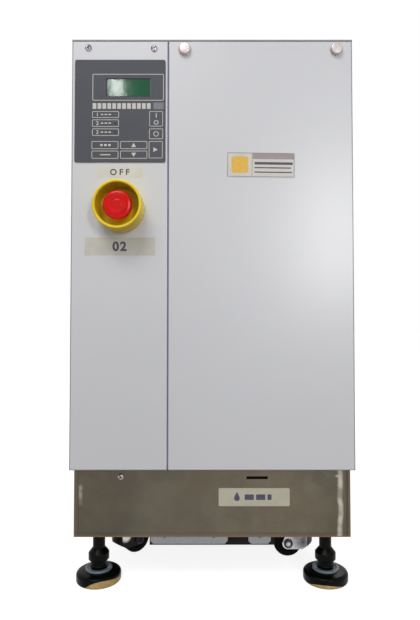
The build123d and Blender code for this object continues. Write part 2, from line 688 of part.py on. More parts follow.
def thumbscrew(x):
    # Captive screw with a knurled head, standing on the service panel
    face = front_plane(x, FRONT_Y, thumbscrew_z)
    with BuildPart() as screw:
        with BuildSketch(face):
            Circle(THUMBSCREW_RADIUS)
        extrude(amount=THUMBSCREW_HEIGHT)
        chamfer(screw.faces().sort_by(Axis.Y)[0].edges(), THUMBSCREW_CHAMFER)
        with BuildSketch(face):
            with PolarLocations(THUMBSCREW_RADIUS, THUMBSCREW_GROOVES):
                RegularPolygon(THUMBSCREW_GROOVE_DEPTH, 4)
        extrude(amount=THUMBSCREW_HEIGHT, mode=Mode.SUBTRACT)
        with BuildSketch(face):
            Circle(THUMBSCREW_SHANK_RADIUS)
        extrude(amount=-THUMBSCREW_SHANK_LENGTH)
    return screw.part


for label, x in zip(("left", "right"), thumbscrew_x):
    save(thumbscrew(x), f"{label}_thumbscrew")

# Guard ring with its floor round the button
button_plane = front_plane(BUTTON_X, FRONT_Y, BUTTON_Z)
button_axis = Axis(button_plane.origin, button_plane.z_dir)
bore_radius = STEM_RADIUS + STEM_RUNNING_CLEARANCE
radial_plane = Plane(origin=button_plane.origin, x_dir=(1, 0, 0), z_dir=(0, 0, 1))


def turned(points):
    # Solid of revolution about the button's axis from (radius, distance out from the panel) points
    with BuildPart() as piece:
        with BuildSketch(radial_plane):
            Polygon(*[(radius, -out) for radius, out in points], align=None)
        revolve(axis=button_axis)
    return piece.part


guard_ring = turned(
    [
        (bore_radius, 0),
        (GUARD_OUTER_RADIUS, 0),
        (GUARD_OUTER_RADIUS, GUARD_HEIGHT - GUARD_RIM_CHAMFER),
        (GUARD_OUTER_RADIUS - GUARD_RIM_CHAMFER, GUARD_HEIGHT),
        (GUARD_INNER_RADIUS + GUARD_RIM_CHAMFER, GUARD_HEIGHT),
        (GUARD_INNER_RADIUS, GUARD_HEIGHT - GUARD_RIM_CHAMFER),
        (GUARD_INNER_RADIUS, GUARD_FLOOR),
        (bore_radius, GUARD_FLOOR),
    ]
)
save(guard_ring, "guard_ring")
button_collar = turned(
    [
        (bore_radius, GUARD_FLOOR),
        (COLLAR_RADIUS, GUARD_FLOOR),
        (COLLAR_RADIUS, GUARD_FLOOR + COLLAR_HEIGHT - COLLAR_CHAMFER),
        (COLLAR_RADIUS - COLLAR_CHAMFER, GUARD_FLOOR + COLLAR_HEIGHT),
        (bore_radius, GUARD_FLOOR + COLLAR_HEIGHT),
    ]
)
save(button_collar, "button_collar")
stem_front = HEAD_BACK + HEAD_BORE_DEPTH - HEAD_BORE_END_GAP
button_stem = turned(
    [(0, -STEM_BEHIND_FACE), (STEM_RADIUS, -STEM_BEHIND_FACE), (STEM_RADIUS, stem_front), (0, stem_front)]
)
save(button_stem, "button_stem")
head_face = HEAD_FRONT - HEAD_DISC_RISE
groove_in = HEAD_GROOVE_RADIUS - HEAD_GROOVE_WIDTH / 2
groove_out = HEAD_GROOVE_RADIUS + HEAD_GROOVE_WIDTH / 2
button_head = turned(
    [
        (0, HEAD_BACK + HEAD_BORE_DEPTH),
        (bore_radius, HEAD_BACK + HEAD_BORE_DEPTH),
        (bore_radius, HEAD_BACK),
        (HEAD_RADIUS, HEAD_BACK),
        (HEAD_RADIUS, head_face),
        (groove_out, head_face),
        (groove_out, head_face - HEAD_GROOVE_DEPTH),
        (groove_in, head_face - HEAD_GROOVE_DEPTH),
        (groove_in, head_face),
        (HEAD_DISC_RADIUS, head_face),
        (HEAD_DISC_RADIUS, HEAD_FRONT),
        (0, HEAD_FRONT),
    ]
)
rim = [edge for edge in button_head.edges().filter_by(GeomType.CIRCLE) if edge.radius > groove_out]
button_head = fillet(sorted(rim, key=lambda edge: edge.center().Y)[0], HEAD_EDGE_RADIUS)
save(button_head, "button_head")


def hex_ports(hex_size, bore, inset, rise, spacing):
    # Hexagon unions on round flanges, with blind threaded bores
    centre_x = HALF_WIDTH - inset
    spots = [(-centre_x - spacing / 2, rise), (-centre_x + spacing / 2, rise)]
    face = rear_plane(0, REAR_Y, CABINET_BOTTOM)
    flange_radius = hex_size / 2 / cos(radians(30)) + PORT_FLANGE_OVER
    with BuildPart() as ports:
        with BuildSketch(face):
            with Locations(*spots):
                Circle(flange_radius)
        extrude(amount=PORT_FLANGE_THICKNESS)
        with BuildSketch(face):
            with Locations(*spots):
                RegularPolygon(hex_size / 2, 6, major_radius=False)
        extrude(amount=PORT_REACH)
        with BuildSketch(face.offset(PORT_REACH)):
            with Locations(*spots):
                Circle(bore)
        extrude(amount=-PORT_BORE_DEPTH, mode=Mode.SUBTRACT)
    return ports.part


circulation_ports = hex_ports(
    CIRCULATION_HEX_SIZE,
    CIRCULATION_PORT_RADIUS,
    CIRCULATION_PORT_INSET,
    CIRCULATION_PORT_RISE,
    CIRCULATION_PORT_SPACING,
)
save(circulation_ports, "circulation_ports")
facility_ports = hex_ports(
    FACILITY_HEX_SIZE,
    FACILITY_PORT_RADIUS,
    FACILITY_PORT_INSET,
    FACILITY_PORT_RISE,
    FACILITY_PORT_SPACING,
)
save(facility_ports, "facility_ports")

# Drain plug low on the rear skirt
with BuildPart() as drain_plug:
    face = rear_plane(HALF_WIDTH - DRAIN_INSET, BASE_REAR_Y, CABINET_BOTTOM - DRAIN_DROP)
    with BuildSketch(face):
        Circle(DRAIN_HEX_SIZE / 2 / cos(radians(30)) + PORT_FLANGE_OVER)
    extrude(amount=PORT_FLANGE_THICKNESS)
    with BuildSketch(face):
        RegularPolygon(DRAIN_HEX_SIZE / 2, 6, major_radius=False)
    extrude(amount=DRAIN_REACH)
save(drain_plug.part, "drain_plug")

# Round power inlet on a square flange
with BuildPart() as power_inlet:
    face = rear_plane(-HALF_WIDTH + POWER_INSET, REAR_Y, CABINET_BOTTOM + POWER_RISE)
    with BuildSketch(face):
        RectangleRounded(POWER_FLANGE, POWER_FLANGE, POWER_FLANGE_CORNER)
    extrude(amount=POWER_FLANGE_THICKNESS)
    with BuildSketch(face):
        Circle(POWER_RADIUS)
    extrude(amount=POWER_REACH)
    with BuildSketch(face.offset(POWER_REACH)):
        Circle(POWER_SOCKET_RADIUS)
    extrude(amount=-POWER_SOCKET_DEPTH, mode=Mode.SUBTRACT)
save(power_inlet.part, "power_inlet")

# Signal connectors, with the tapered shell of their kind
with BuildPart() as signal_connectors:
    spots = [(-SIGNAL_SPACING / 2, 0), (SIGNAL_SPACING / 2, 0)]
    face = rear_plane(-HALF_WIDTH + SIGNAL_INSET, REAR_Y, CABINET_BOTTOM + SIGNAL_RISE)
    with BuildSketch(face):
        with Locations(*spots):
            RectangleRounded(SIGNAL_WIDTH, SIGNAL_HEIGHT, SIGNAL_CORNER)
    extrude(amount=SIGNAL_FLANGE_THICKNESS)
    with BuildSketch(face):
        with Locations(*spots):
            Trapezoid(SIGNAL_SHELL_LENGTH, SIGNAL_SHELL_HEIGHT, SIGNAL_SHELL_ANGLE)
    extrude(amount=SIGNAL_REACH)
save(signal_connectors.part, "signal_connectors")

# Filler cap on its collar
with BuildPart() as filler_cap:
    collar_plane = Plane(origin=(HALF_WIDTH - FILLER_SIDE_INSET, REAR_Y - FILLER_REAR_INSET, CABINET_TOP))
    with BuildSketch(collar_plane.offset(FILLER_COLLAR_HEIGHT)):
        Circle(FILLER_RADIUS)
    extrude(amount=FILLER_HEIGHT - FILLER_COLLAR_HEIGHT)
    chamfer(filler_cap.faces().sort_by(Axis.Z)[-1].edges(), FILLER_TOP_CHAMFER)
    with BuildSketch(collar_plane.offset(FILLER_COLLAR_HEIGHT)):
        with PolarLocations(FILLER_RADIUS, FILLER_GROOVES):
            RegularPolygon(FILLER_GROOVE_DEPTH, 4)
    extrude(amount=FILLER_HEIGHT, mode=Mode.SUBTRACT)
    with BuildSketch(collar_plane):
        Circle(FILLER_COLLAR_RADIUS)
    extrude(amount=FILLER_COLLAR_HEIGHT)
save(filler_cap.part, "filler_cap")
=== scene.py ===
import math

import bmesh
import bpy
from mathutils import Matrix, Vector


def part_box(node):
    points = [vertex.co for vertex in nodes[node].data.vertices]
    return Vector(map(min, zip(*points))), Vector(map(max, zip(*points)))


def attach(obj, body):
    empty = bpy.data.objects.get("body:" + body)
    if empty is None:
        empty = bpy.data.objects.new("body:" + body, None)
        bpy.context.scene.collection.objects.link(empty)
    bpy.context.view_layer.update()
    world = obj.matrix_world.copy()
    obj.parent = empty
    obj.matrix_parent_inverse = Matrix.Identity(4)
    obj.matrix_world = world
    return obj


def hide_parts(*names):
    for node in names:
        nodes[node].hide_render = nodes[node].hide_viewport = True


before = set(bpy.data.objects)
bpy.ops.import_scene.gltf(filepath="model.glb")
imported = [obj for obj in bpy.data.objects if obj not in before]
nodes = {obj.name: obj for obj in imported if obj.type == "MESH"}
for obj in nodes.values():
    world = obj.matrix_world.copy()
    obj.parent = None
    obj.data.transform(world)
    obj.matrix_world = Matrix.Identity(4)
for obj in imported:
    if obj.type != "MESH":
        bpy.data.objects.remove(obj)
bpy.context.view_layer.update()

# The faces of the cabinet are in metres; profiles and the layout of the prints are in mm.
MM = 0.001
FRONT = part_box("front_left_panel")[0].y
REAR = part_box("left_side_panel")[1].y
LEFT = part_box("front_left_panel")[0].x
RIGHT = -LEFT
COVER_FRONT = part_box("base_front_cover")[0].y
ORIGIN = (0, 0, 0)
UP = (0, 0, 1)
OUT = (0, -1, 0)
CORNERS = [f"{end}_{side}" for end in ("front", "rear") for side in ("left", "right")]


# Materials

def lin(r, g, b):
    """sRGB values of 0 to 255 as a linear colour."""
    def one(c):
        c /= 255
        return c / 12.92 if c <= 0.04045 else ((c + 0.055) / 1.055) ** 2.4
    return (one(r), one(g), one(b), 1.0)


def shade(color, factor):
    return (color[0] * factor, color[1] * factor, color[2] * factor, 1.0)


class Nodes:
    """Short helper round a material's node tree."""

    def __init__(self, name):
        self.mat = bpy.data.materials.new(name)
        self.mat.use_nodes = True
        self.tree = self.mat.node_tree
        self.shader = self.tree.nodes["Principled BSDF"]
        self.coord = self.tree.nodes.new("ShaderNodeTexCoord").outputs["Object"]

    def add(self, kind, inputs=None, **values):
        node = self.tree.nodes.new(kind)
        for key, value in values.items():
            setattr(node, key, value)
        for key, value in (inputs or {}).items():
            self.set(node.inputs[key], value)
        return node

    def set(self, socket, value):
        if isinstance(value, bpy.types.NodeSocket):
            self.tree.links.new(value, socket)
        else:
            socket.default_value = value

    def noise(self, scale, detail=3.0, stretch=None, rough=0.5):
        vector = self.coord
        if stretch:
            vector = self.add("ShaderNodeMapping", {"Vector": vector, "Scale": stretch}).outputs[0]
        inputs = {"Vector": vector, "Scale": scale, "Detail": detail, "Roughness": rough}
        return self.add("ShaderNodeTexNoise", inputs).outputs["Fac"]

    def ramp(self, value, low, high, to_low=0.0, to_high=1.0, smooth=True):
        node = self.add(
            "ShaderNodeMapRange",
            {"Value": value, "From Min": low, "From Max": high, "To Min": to_low, "To Max": to_high},
            interpolation_type="SMOOTHSTEP" if smooth else "LINEAR",
        )
        return node.outputs["Result"]

    def mix(self, fac, a, b):
        node = self.add("ShaderNodeMix", data_type="RGBA", blend_type="MIX")
        self.set(node.inputs["Factor"], fac)
        self.set(node.inputs["A"], a)
        self.set(node.inputs["B"], b)
        return node.outputs["Result"]

    def math(self, op, a, b=0.0):
        node = self.add("ShaderNodeMath", operation=op)
        self.set(node.inputs[0], a)
        self.set(node.inputs[1], b)
        return node.outputs[0]

    def times(self, a, b):
        return self.math("MULTIPLY", a, b)

    def larger(self, a, b):
        return self.math("MAXIMUM", a, b)

    def distance(self, value, centre):
        return self.math("ABSOLUTE", self.math("SUBTRACT", value, centre))

    def near(self, value, centre, full, none, top=1.0):
        """top up to full from centre, falling to 0 at none from it."""
        return self.ramp(self.distance(value, centre), full, none, top, 0.0)

    def xyz(self):
        return self.add("ShaderNodeSeparateXYZ", {0: self.coord}).outputs

    def normal_xyz(self):
        geometry = self.add("ShaderNodeNewGeometry")
        return self.add("ShaderNodeSeparateXYZ", {0: geometry.outputs["Normal"]}).outputs

    def turned(self):
        """0 on faces towards the front or back, 1 on those towards a side, up or down."""
        nx, _, nz = self.normal_xyz()
        return self.larger(self.math("ABSOLUTE", nx), self.math("ABSOLUTE", nz))

    def bump(self, height, strength, distance=0.001):
        node = self.add("ShaderNodeBump", {"Height": height, "Strength": strength, "Distance": distance})
        self.set(self.shader.inputs["Normal"], node.outputs["Normal"])

    def finish(self, color, rough, metal=0.0, specular=0.5):
        s = self.shader.inputs
        self.set(s["Base Color"], color)
        self.set(s["Roughness"], rough)
        s["Metallic"].default_value = metal
        s["Specular IOR Level"].default_value = specular
        return self.mat


def plain(name, rgb, rough, metal=0.0, vary=0.06, scale=40.0, bump=0.05, grain=900.0, specular=0.5):
    """A surface with uneven tone, uneven gloss and a fine grain."""
    n = Nodes(name)
    base = lin(*rgb)
    tone = n.noise(scale, 4.0)
    color = n.mix(n.ramp(tone, 0.3, 0.7), shade(base, 1 - vary), shade(base, 1 + vary))
    gloss = n.ramp(n.noise(scale * 2.3, 3.0), 0.3, 0.7, rough * 0.9, min(1.0, rough * 1.1))
    n.bump(n.noise(grain, 2.0), bump, 0.0005)
    return n.finish(color, gloss, metal, specular)


# Where the painted shade on the front panels begins and ends, in metres
RIM_X = (0.1881, 0.1887)
RIM_Z = (0.1640, 0.1646)
RIM_DEPTH = (FRONT + 0.0008, FRONT + 0.0024)
FOOT_SHADE_Z = (0.20, 0.46)


def panel_paint(name, rgb, front):
    """Powder coat with a fine orange peel and faint smudges.

    The front panels also get painted shade: darker folds, a dark line along the outer edges and faint grey
    towards the foot.
    """
    n = Nodes(name)
    base = lin(*rgb)
    broad = n.ramp(n.noise(3.2, 3.0), 0.3, 0.7)
    fine = n.ramp(n.noise(26.0, 5.0, rough=0.6), 0.25, 0.75)
    color = n.mix(broad, shade(base, 0.975), shade(base, 1.02))
    color = n.mix(n.times(fine, 0.3), color, shade(base, 0.985))
    if front:
        # Painted shade: the folds, which face sideways, up or down, darker
        color = n.mix(n.ramp(n.turned(), 0.35, 0.8, 0.0, 0.35), color, lin(120, 116, 128))
        # Painted shade: a dark line along the outer edges and the foot of the front face
        x, y, z = n.xyz()
        outer = n.ramp(n.math("ABSOLUTE", x), *RIM_X)
        foot = n.ramp(z, *RIM_Z, 1.0, 0.0)
        face = n.ramp(y, *RIM_DEPTH, 0.8, 0.0)
        color = n.mix(n.times(n.larger(outer, foot), face), color, lin(112, 104, 118))
        # Painted shade: faint grey towards the foot
        color = n.mix(n.ramp(z, *FOOT_SHADE_Z, 0.09, 0.0), color, lin(20, 16, 12))
    rough = n.ramp(n.noise(240.0, 3.0), 0.3, 0.7, 0.29, 0.31)
    n.bump(n.noise(1500.0, 2.0), 0.06, 0.0003)
    return n.finish(color, rough, 0.0, 0.6)


# Places of the painted reflections and painted shade on the base's front cover, in metres
STREAK_X = 0.1768
FAN_X, FAN_Z = 0.1725, 0.1505
PATCH_X, PATCH_Z = -0.1787, 0.125
UNSHADED_X = 0.02
END_SHADE_FROM, END_SHADE_FULL = 0.10, 0.155
FLANGE_X = 0.1835
FOLD_X = (0.1864, 0.1872)
FOLD_Z = (0.0692, 0.0700)
CREASE_X, CREASE_Z = 0.1819, 0.0741
CREASE_WIDTH = (0.0002, 0.0009)


def cover_marks(n, color):
    """Painted reflections: pale streak, fan and patch, brown turned faces and folds; painted shade at both
    ends, right flange and creases.
    """
    # Painted reflection: the turned faces browner
    rim = n.ramp(n.turned(), 0.15, 0.35)
    color = n.mix(n.times(rim, 0.5), color, lin(106, 93, 76))
    x, _, z = n.xyz()
    # Painted reflections: a pale streak, a fan near its top and a patch on the left
    wobble = n.times(n.noise(34.0, 3.0, stretch=(0.2, 0.2, 1.0)), 0.006)
    streak = n.near(n.math("ADD", x, wobble), STREAK_X, 0.0012, 0.0050)
    streak = n.times(streak, n.ramp(n.noise(52.0, 5.0), 0.36, 0.64, 0.4, 0.9))
    fan = n.times(n.near(x, FAN_X, 0.0025, 0.0065), n.near(z, FAN_Z, 0.0006, 0.0022, 0.75))
    patch = n.times(n.near(x, PATCH_X, 0.0012, 0.0034), n.near(z, PATCH_Z, 0.0085, 0.0160))
    patch = n.times(patch, n.ramp(n.noise(90.0, 4.0), 0.3, 0.7, 0.15, 0.6))
    painted_reflection = n.larger(n.larger(streak, fan), patch)
    color = n.mix(n.times(painted_reflection, 0.85), color, lin(190, 184, 170))
    # Painted shade: darker towards both ends, less where the painted reflections are
    end_shade = n.ramp(n.distance(x, UNSHADED_X), END_SHADE_FROM, END_SHADE_FULL, 0.0, 0.24)
    color = n.mix(n.times(end_shade, n.math("SUBTRACT", 1.0, painted_reflection)), color, lin(40, 34, 26))
    # Painted shade: a dark line along the right flange
    color = n.mix(n.near(x, FLANGE_X, 0.0003, 0.0010, 0.7), color, lin(52, 46, 40))
    sides = n.math("ABSOLUTE", x)
    # Painted reflection: the folds at the sides and foot browner
    fold = n.larger(n.ramp(sides, *FOLD_X), n.ramp(z, *FOLD_Z, 1.0, 0.0))
    color = n.mix(n.times(fold, 0.8), color, lin(128, 100, 72))
    # Painted shade: dark lines in the creases
    crease = n.larger(n.near(sides, CREASE_X, *CREASE_WIDTH), n.near(z, CREASE_Z, *CREASE_WIDTH))
    return n.mix(n.times(crease, 0.35), color, lin(40, 34, 28))


def stainless(name, rgb, marked):
    """Brushed sheet, dull and stained."""
    n = Nodes(name)
    base = lin(*rgb)
    brush = n.noise(9.0, 6.0, stretch=(1.0, 1.0, 130.0), rough=0.65)
    cloud = n.noise(7.0, 4.0)
    blotch = n.noise(23.0, 6.0, rough=0.7)
    color = n.mix(n.ramp(brush, 0.3, 0.7), shade(base, 0.95), shade(base, 1.06))
    color = n.mix(n.ramp(n.noise(4.5, 3.0), 0.4, 0.65), color, shade(base, 1.22))
    color = n.mix(n.ramp(blotch, 0.32, 0.68, 0.0, 0.8), color, shade(base, 0.78))
    color = n.mix(n.ramp(cloud, 0.35, 0.72, 0.0, 0.6), color, lin(98, 86, 70))
    if marked:
        color = cover_marks(n, color)
    n.bump(brush, 0.05, 0.0003)
    return n.finish(color, n.ramp(brush, 0.3, 0.7, 0.38, 0.5), 0.85)


def zinc(name, rgb, rough):
    """Zinc plating with a fine spangle."""
    n = Nodes(name)
    base = lin(*rgb)
    spangle = n.add("ShaderNodeTexVoronoi", {"Vector": n.coord, "Scale": 620.0}).outputs["Distance"]
    color = n.mix(n.ramp(spangle, 0.1, 0.7), shade(base, 1.05), shade(base, 0.86))
    gloss = n.ramp(n.noise(80.0, 3.0), 0.3, 0.7, rough * 0.85, rough * 1.2)
    n.bump(n.noise(500.0, 2.0), 0.05, 0.0003)
    return n.finish(color, gloss, 0.9)


def shaded_zinc_with_highlight(spot):
    """Cheek of the front left fork in painted deep shade, with one painted highlight where the web begins.
    """
    n = Nodes("zinc_painted_highlight_shade")
    away = n.add("ShaderNodeVectorMath", {0: n.coord, 1: spot}, operation="DISTANCE")
    highlight = n.ramp(away.outputs["Value"], 0.0045, 0.0105, 1.0, 0.0)
    deep_shade = n.mix(n.noise(300.0, 3.0), lin(14, 15, 11), lin(40, 40, 34))
    gloss = n.ramp(n.noise(80.0, 3.0), 0.3, 0.7, 0.35, 0.45)
    return n.finish(n.mix(highlight, deep_shade, lin(210, 210, 208)), gloss, 0.9)


# The pad is 62 mm wide, and its tan patch reaches up to 16 mm from the floor
PAD_HALF = 0.031
TAN_RISE = 0.016


def pad_rubber(name, edge):
    """Black moulded pad with a dusty tan patch low on its front.

    edge gives the patch's upper edge from left to right, as shares of TAN_RISE.
    """
    n = Nodes(name)
    x, y, z = n.xyz()
    base = n.mix(n.ramp(n.noise(60.0, 4.0), 0.3, 0.7), lin(2, 3, 2), lin(9, 12, 8))
    lift = n.add("ShaderNodeFloatCurve")
    points = lift.mapping.curves[0].points
    points[0].location = (0.0, edge[0])
    points[1].location = (1.0, edge[-1])
    for i, value in enumerate(edge[1:-1], 1):
        points.new(i / (len(edge) - 1), value)
    n.set(lift.inputs["Value"], n.ramp(x, -PAD_HALF, PAD_HALF, 0.0, 1.0, smooth=False))
    height = n.times(lift.outputs["Value"], TAN_RISE)
    height = n.math("ADD", height, n.times(n.noise(130.0, 2.0), 0.0006))
    low = n.ramp(n.math("SUBTRACT", height, z), -0.0004, 0.0004)
    front = n.ramp(y, -0.004, 0.004, 1.0, 0.0)
    tan = n.mix(n.ramp(n.noise(160.0, 4.0), 0.3, 0.7), lin(178, 146, 92), lin(206, 176, 122))
    color = n.mix(n.times(low, front), base, tan)
    n.bump(n.noise(700.0, 2.0), 0.08, 0.0004)
    return n.finish(color, n.ramp(n.noise(40.0, 2.0), 0.3, 0.7, 0.2, 0.32), 0.0, 0.06)


def guard_plastic(name):
    """Yellow plastic, with painted light on the faces that look up and painted shade on those that look
    down.
    """
    n = Nodes(name)
    _, _, nz = n.normal_xyz()
    color = n.mix(n.ramp(n.noise(50.0, 4.0), 0.3, 0.7), lin(232, 200, 34), lin(242, 212, 44))
    # Painted shade: faces that look down browner
    color = n.mix(n.ramp(nz, -1.0, 0.2, 0.42, 0.0), color, lin(120, 66, 6))
    # Painted light: faces that look up paler
    color = n.mix(n.ramp(nz, 0.0, 0.9, 0.0, 0.9), color, lin(255, 234, 58))
    n.bump(n.noise(900.0, 2.0), 0.03, 0.0005)
    return n.finish(color, 0.32, 0.0, 0.25)


PAINT = panel_paint("front_powder_coat", (207, 207, 210), True)
SIDE_PAINT = panel_paint("side_powder_coat", (205, 205, 208), False)
TOP_PAINT = panel_paint("top_powder_coat", (205, 205, 208), False)
LIP = plain("lip_shadow_line", (128, 124, 134), 0.5, vary=0.1, scale=30)
# Purple-grey of the joint between the front panels: painted shade
JOINT_SHADE = plain("joint_shade_strip", (112, 104, 140), 0.6, vary=0.1, scale=200, specular=0.2)
DARK_HOUSING = plain("housing_grey", (138, 132, 158), 0.6)
# Front cover: its dark brown-grey tone is a painted reflection of a brown floor and dark surroundings
STAINLESS = stainless("base_stainless", (94, 89, 77), True)
STAINLESS_PLAIN = stainless("plain_stainless", (122, 119, 111), False)
FRAME_PAINT = plain("underframe_black", (22, 21, 22), 0.5, vary=0.25, scale=60, specular=0.1)
BLACK_PLASTIC = plain("black_plastic", (24, 24, 26), 0.5, vary=0.2, scale=150)
NICKEL = plain("port_nickel", (186, 182, 172), 0.3, metal=0.9, vary=0.06, scale=120)

ZINC = zinc("zinc_plate", (134, 138, 140), 0.38)
# Lit and shaded copies of zinc: painted light on fork cheeks, painted shade on webs and crowns
FORK_ZINC_LIT = zinc("zinc_painted_lit", (216, 216, 220), 0.3)
FORK_SHADE = zinc("zinc_painted_shade", (62, 62, 72), 0.4)
# Zinc in painted deep shade, for the front left fork and its axle heads
FORK_DEEP_SHADE = zinc("zinc_painted_deep_shade", (26, 26, 26), 0.45)
AXLE_FACE = plain("axle_face", (150, 144, 146), 0.4, metal=0.9, vary=0.6, scale=600)
# Painted shade on the rounded sides of the axle heads
RIVET_RING = plain("rivet_edge_shade", (58, 52, 76), 0.4, vary=0.3, scale=300, specular=0.2)
TYRE = plain("tyre_rubber", (7, 9, 6), 0.6, vary=0.4, scale=120, bump=0.2, grain=600, specular=0.06)

FOOT_BLACK = plain("foot_black_oxide", (5, 7, 3), 0.3, vary=0.4, scale=150, bump=0.15, specular=0.07)
FOOT_RING = plain("foot_ring", (98, 110, 118), 0.4, vary=0.1, scale=150)
PAD_LEFT = pad_rubber("pad_left", (0.0, 0.0, 0.12, 0.45, 0.62, 0.66, 0.62, 0.5))
PAD_RIGHT = pad_rubber("pad_right", (0.0, 0.22, 0.34, 0.36, 0.3, 0.2, 0.08, 0.2))

OVERLAY = plain("overlay_film", (86, 87, 93), 0.5, vary=0.05, scale=14, bump=0.03, grain=1400, specular=0.12)
# Painted shade for the edges of the film
OVERLAY_EDGE_SHADE = plain("overlay_edge_shade", (56, 48, 66), 0.5, vary=0.1, scale=200, specular=0.1)
PRINT = plain("print_pale", (196, 194, 186), 0.55, vary=0.05, scale=300)
PRINT_GREY = plain("print_grey", (116, 117, 122), 0.55, vary=0.06, scale=300)
DISPLAY = plain("display_green", (34, 90, 60), 0.07, vary=0.08, scale=60, bump=0.1, grain=80, specular=0.2)
LED_DARK = plain("indicator_lens", (34, 30, 44), 0.2, vary=0.1, scale=400)

GUARD = guard_plastic("guard_yellow")
RED = plain("button_red", (212, 6, 2), 0.2, vary=0.05, scale=60, bump=0.03, specular=0.22)
COLLAR_BLACK = plain("collar_black", (14, 14, 15), 0.4, vary=0.2, scale=150, specular=0.12)

KNOB = plain("knob_nickel", (200, 190, 188), 0.28, metal=0.6, vary=0.05, scale=200)
SCREW = plain("screw_zinc", (150, 142, 156), 0.24, metal=0.9, vary=0.8, scale=300)
SCREW_DULL = plain("screw_dull", (158, 150, 140), 0.3, metal=0.9, vary=0.6, scale=500)

LABEL = plain("label_paper", (208, 205, 196), 0.55, vary=0.04, scale=60)
LABEL_DULL = plain("label_paper_dull", (183, 179, 160), 0.55, vary=0.05, scale=60)
LABEL_AGED = plain("label_paper_aged", (193, 190, 180), 0.55, vary=0.05, scale=60)
LABEL_INK = plain("label_ink", (66, 62, 82), 0.55, vary=0.12, scale=300)
PLACARD = plain("placard_film", (203, 200, 192), 0.5, vary=0.03, scale=60)
AMBER = plain("placard_amber", (222, 176, 62), 0.5, vary=0.05, scale=200)
BAND = plain("placard_band", (150, 140, 140), 0.5, vary=0.05, scale=200)


# Meshes

def piece(name, verts, faces, material, body="chiller", angle=35, slot=None, materials=None, indices=None):
    """A mesh object on a body; materials and indices give more than one material, face by face."""
    mesh = bpy.data.meshes.new(name)
    mesh.from_pydata([tuple(v) for v in verts], [], faces)
    mesh.validate()
    obj = bpy.data.objects.new(name, mesh)
    bpy.context.scene.collection.objects.link(obj)
    for m in materials or [material]:
        mesh.materials.append(m)
    if indices:
        for polygon, index in zip(mesh.polygons, indices):
            polygon.material_index = index
    b = bmesh.new()
    b.from_mesh(mesh)
    bmesh.ops.remove_doubles(b, verts=b.verts, dist=1e-7)
    bmesh.ops.recalc_face_normals(b, faces=b.faces)
    b.to_mesh(mesh)
    b.free()
    mesh.shade_smooth()
    mesh.set_sharp_from_angle(angle=math.radians(angle))
    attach(obj, body)
    return obj


def rounded(points, steps=6):
    """Rounds the corners of a path of (r, h) or (r, h, radius) points."""
    out = []
    for i, p in enumerate(points):
        radius = p[2] if len(p) > 2 else 0
        if not radius or i in (0, len(points) - 1):
            out.append((p[0], p[1]))
            continue
        here = Vector(p[:2])
        a = (Vector(points[i - 1][:2]) - here).normalized()
        b = (Vector(points[i + 1][:2]) - here).normalized()
        half = a.angle(b) / 2
        reach = radius / math.tan(half)
        centre = here + (a + b).normalized() * (radius / math.sin(half))
        start, end = here + a * reach - centre, here + b * reach - centre
        turn = start.angle_signed(end)
        for k in range(steps + 1):
            t = -turn * k / steps
            x = centre.x + start.x * math.cos(t) - start.y * math.sin(t)
            y = centre.y + start.x * math.sin(t) + start.y * math.cos(t)
            out.append((x, y))
    return out


def lathe_data(path, origin, axis, segments=96, squash=None):
    """Vertices and faces of a path of (r, h) points in mm, turned about an axis through origin.

    squash(angle, r, h) gives a factor on the radius.
    """
    axis = Vector(axis).normalized()
    u = axis.orthogonal().normalized()
    v = axis.cross(u)
    verts, faces = [], []
    for r, h in path:
        for k in range(segments):
            a = 2 * math.pi * k / segments
            rr = r * (squash(a, r, h) if squash else 1.0)
            around = (u * math.cos(a) + v * math.sin(a)) * rr * MM
            verts.append(Vector(origin) + around + axis * h * MM)
    for i in range(len(path) - 1):
        low, high = i * segments, (i + 1) * segments
        for k in range(segments):
            j = (k + 1) % segments
            faces.append((low + k, low + j, high + j, high + k))
    return verts, faces


def lathe(name, path, origin, axis, material, body="chiller", segments=96, squash=None, slot=None):
    verts, faces = lathe_data(path, origin, axis, segments, squash)
    return piece(name, verts, faces, material, body, slot=slot)


def join_data(parts):
    verts, faces = [], []
    for v, f in parts:
        base = len(verts)
        verts += list(v)
        faces += [tuple(i + base for i in face) for face in f]
    return verts, faces


def outline_rect(x0, z0, x1, z1, radius, steps=5):
    """Corner points of a rounded rectangle on the front, in mm."""
    left, right = x0 + radius, x1 - radius
    low, high = z0 + radius, z1 - radius
    points = []
    for cx, cz, start in ((right, high, 0), (left, high, 90), (left, low, 180), (right, low, 270)):
        for k in range(steps + 1):
            a = math.radians(start + 90 * k / steps)
            points.append((cx + radius * math.cos(a), cz + radius * math.sin(a)))
    return points


def circle(cx, cz, radius, count):
    """Points of a circle on the front, in mm."""
    turns = [2 * math.pi * k / count for k in range(count)]
    return [(cx + radius * math.cos(a), cz + radius * math.sin(a)) for a in turns]


def slab_data(points, y, thickness):
    """A flat piece that faces -Y: outline and thickness in mm, y of its back in metres."""
    n = len(points)
    front = y - thickness * MM
    verts = [(x * MM, y, z * MM) for x, z in points] + [(x * MM, front, z * MM) for x, z in points]
    faces = [tuple(range(n, 2 * n)), tuple(reversed(range(n)))]
    faces += [(i, (i + 1) % n, n + (i + 1) % n, n + i) for i in range(n)]
    return verts, faces


def ring_data(outer, inner, y, thickness):
    """A flat band between two outlines of the same count."""
    n = len(outer)
    front = y - thickness * MM
    verts = [(x * MM, front, z * MM) for x, z in outer] + [(x * MM, front, z * MM) for x, z in inner]
    verts += [(x * MM, y, z * MM) for x, z in outer] + [(x * MM, y, z * MM) for x, z in inner]
    faces = []
    for i in range(n):
        j = (i + 1) % n
        faces += [(i, j, n + j, n + i), (i, j, 2 * n + j, 2 * n + i), (n + i, n + j, 3 * n + j, 3 * n + i)]
    return verts, faces


# Thickness of the ink on films and labels, in mm
INK = 0.08


